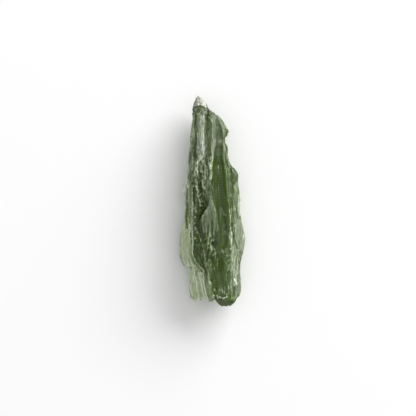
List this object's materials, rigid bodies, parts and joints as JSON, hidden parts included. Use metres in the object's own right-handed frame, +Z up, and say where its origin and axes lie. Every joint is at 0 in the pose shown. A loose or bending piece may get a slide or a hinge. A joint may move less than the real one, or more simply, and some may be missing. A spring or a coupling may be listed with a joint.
{
  "type": "moldavite",
  "caption": "Raw splinter of green natural glass, pointed at one end and broken blunt at the other, fluted lengthwise, lying on a small flat spot.",
  "frame": {"origin": "centre of the bounding box in plan, on the ground under the stone", "axes": "+Y along the stone towards its point, +Z up, +X across it; it lies on its broad side"},
  "size_m": [0.0114, 0.036, 0.0067],
  "materials": {
    "moldavite_glass": "clear bottle-green glass, etched to a satin skin, with glossy fracture faces"
  },
  "bodies": {
    "root": {"moldavite": "moldavite_glass"}
  },
  "joints": []
}
